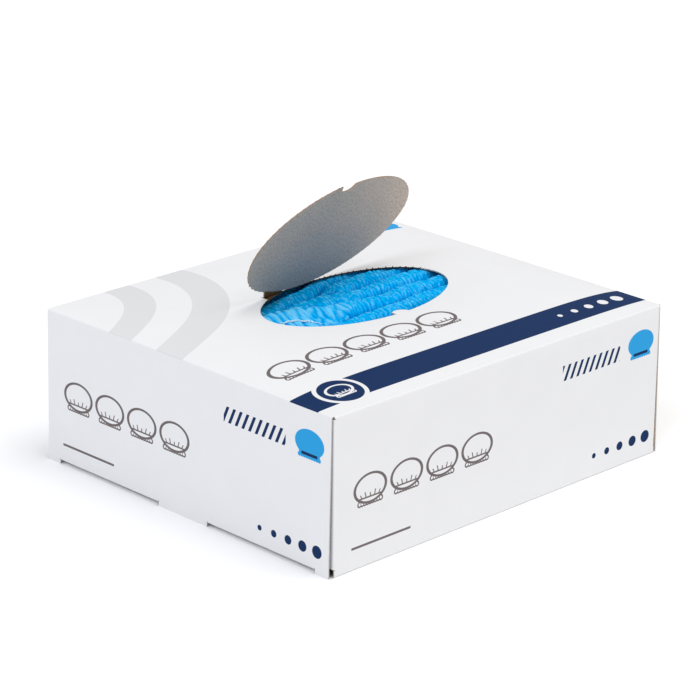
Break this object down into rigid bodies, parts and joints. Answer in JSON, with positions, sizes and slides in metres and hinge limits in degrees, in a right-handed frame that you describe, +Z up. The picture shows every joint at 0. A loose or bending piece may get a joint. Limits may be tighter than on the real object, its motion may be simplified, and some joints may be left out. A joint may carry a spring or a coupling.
{
  "type": "surgical caps in a dispenser box",
  "caption": "Folded bouffant surgical caps of blue nonwoven, packed in rows in a white paperboard dispenser box whose oval lid is torn open and hinges up on its uncut bit of board.",
  "frame": {"origin": "on the ground under the middle of the closed carton", "axes": "+X along the carton's long front, +Y from the front to the back, +Z up"},
  "size_m": [0.2624, 0.231, 0.1623],
  "materials": {
    "coated_board": "white clay-coated paperboard with a satin print varnish outside and grey-brown recycled board inside",
    "cap_cloth": "sky-blue spunbond polypropylene, matt and slightly translucent, finely crimped by its elastic"
  },
  "bodies": {
    "carton": {"top_panel": "coated_board", "front_panel": "coated_board", "back_panel": "coated_board", "bottom_panel": "coated_board", "left_end_flap": "coated_board", "right_end_flap": "coated_board", "left_inner_flap": "coated_board", "right_inner_flap": "coated_board", "left_dust_flap_a": "coated_board", "left_dust_flap_b": "coated_board", "right_dust_flap_a": "coated_board", "right_dust_flap_b": "coated_board", "cap_01": "cap_cloth", "cap_02": "cap_cloth", "cap_03": "cap_cloth", "cap_04": "cap_cloth", "cap_05": "cap_cloth", "cap_06": "cap_cloth", "cap_07": "cap_cloth", "cap_08": "cap_cloth", "cap_09": "cap_cloth", "cap_10": "cap_cloth", "cap_11": "cap_cloth", "cap_12": "cap_cloth", "cap_13": "cap_cloth", "cap_14": "cap_cloth", "cap_15": "cap_cloth", "caps_layer_2": "cap_cloth", "caps_layer_3": "cap_cloth", "caps_layer_4": "cap_cloth", "caps_layer_5": "cap_cloth", "caps_layer_6": "cap_cloth", "caps_layer_7": "cap_cloth"},
    "lid": {"lid": "coated_board"}
  },
  "joints": [
    {"name": "lid_hinge", "type": "hinge", "parent": "carton", "child": "lid", "pos_m": [-0.031, 0.034, 0.0974], "axis": [-0.996, -0.0889, 0], "range_deg": [-63.3, 85]}
  ]
}
